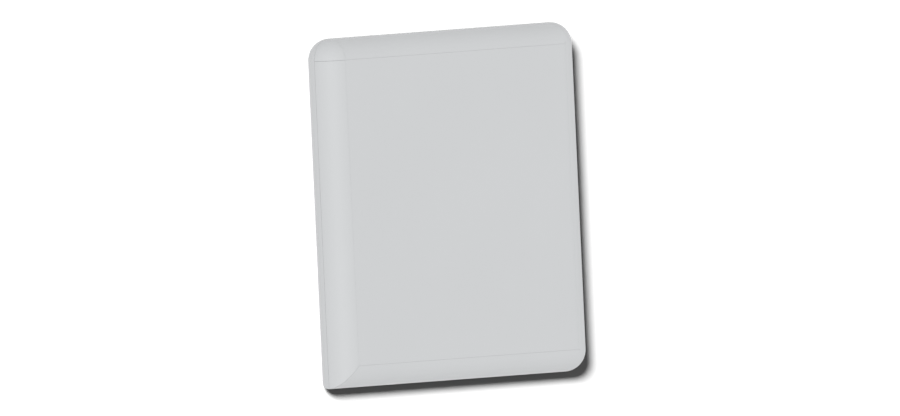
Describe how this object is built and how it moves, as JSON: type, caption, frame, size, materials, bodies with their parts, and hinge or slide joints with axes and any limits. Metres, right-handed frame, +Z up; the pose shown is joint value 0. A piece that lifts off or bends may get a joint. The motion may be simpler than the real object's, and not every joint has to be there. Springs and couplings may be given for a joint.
{
  "type": "security gate",
  "caption": "Slim near-square article-surveillance gate panel with round edges and one mitred corner, hung by a hooked bracket behind, with antenna coils and a rear service door.",
  "frame": {"origin": "middle of the four wall screw holes of the hooked bracket, in the plane of the wall behind the panel", "axes": "+Y out of the back of the panel into the wall, +Z up, +X to the right as the front is faced"},
  "size_m": [0.8, 0.1, 0.8],
  "materials": {
    "moulded_shell": "satin moulded grey plastic with a fine grain",
    "door_plastic": "satin moulded grey plastic with a fine grain",
    "seal_rubber": "matt black seal",
    "fastener_steel": "zinc plated",
    "bond_tape": "white foam tape",
    "frame_plastic": "natural moulded plastic",
    "coil_winding": "varnished winding wire",
    "tray_aluminium": "bare sheet",
    "sink_aluminium": "black anodised",
    "circuit_board": "green solder mask",
    "brass_posts": "turned",
    "black_plastic": "moulded black",
    "gland_plastic": "moulded dark grey",
    "capacitor_film": "dipped film",
    "terminal_plastic": "moulded green",
    "supply_case": "galvanised sheet",
    "bracket_steel": "zinc plated sheet",
    "rocker_plastic": "moulded red",
    "plunger_plastic": "moulded white",
    "lock_chrome": "polished plating",
    "red_wire": "insulated wire",
    "black_wire": "sheathed cable"
  },
  "bodies": {
    "panel": {"front_panel": "moulded_shell", "front_frame": "moulded_shell", "left_edge_strip": "moulded_shell", "corner_cap": "moulded_shell", "parting_gasket": "seal_rubber", "rear_shell": "moulded_shell", "shell_screws": "fastener_steel", "front_bond_tape": "bond_tape", "spacer_posts": "frame_plastic", "upper_coil": "coil_winding", "lower_coil": "coil_winding", "coil_brackets": "frame_plastic", "coil_clamps": "frame_plastic", "clamp_screws": "fastener_steel", "chassis_tray": "tray_aluminium", "tray_screws": "fastener_steel", "main_board": "circuit_board", "board_standoffs": "brass_posts", "board_screws": "fastener_steel", "heat_sink": "sink_aluminium", "power_transistors": "black_plastic", "tuning_capacitors": "capacitor_film", "terminal_block": "terminal_plastic", "toroid_transformer": "coil_winding", "toroid_bolt": "fastener_steel", "power_supply": "supply_case", "fuse_holder": "black_plastic", "alarm_sounder": "black_plastic", "switch_bracket": "bracket_steel", "power_switch": "black_plastic", "rocker_pin": "fastener_steel", "tamper_switch": "black_plastic", "hinge_pins": "fastener_steel", "door_gasket": "seal_rubber", "wall_bracket": "bracket_steel", "panel_cleat": "bracket_steel", "cleat_screws": "fastener_steel", "gland_body": "gland_plastic", "gland_nut": "lock_chrome", "gland_cap": "gland_plastic", "gland_seal": "seal_rubber", "coil_leads": "red_wire", "supply_lead": "black_wire"},
    "door": {"service_door": "door_plastic", "lock_barrel": "lock_chrome"},
    "lock": {"lock_cam": "lock_chrome", "lock_nut": "lock_chrome"},
    "tamper": {"tamper_plunger": "plunger_plastic"},
    "rocker": {"switch_rocker": "rocker_plastic"}
  },
  "joints": [
    {"name": "door_hinge", "type": "hinge", "parent": "panel", "child": "door", "pos_m": [-0.1565, -0.0035, -0.19], "axis": [0, 0, 1], "range_deg": [0, 90]},
    {"name": "lock_turn", "type": "hinge", "parent": "door", "child": "lock", "pos_m": [0.14, -0.01, -0.21], "axis": [0, 1, 0], "range_deg": [0, 90]},
    {"name": "tamper_press", "type": "slide", "parent": "panel", "child": "tamper", "axis": [0, 1, 0], "range_m": [-0.002, 0], "stiffness_N_per_m": 400, "springref_m": 0.002},
    {"name": "switch_rock", "type": "hinge", "parent": "panel", "child": "rocker", "pos_m": [0.126, -0.032, -0.17], "axis": [-1, 0, 0], "range_deg": [0, 16]}
  ]
}
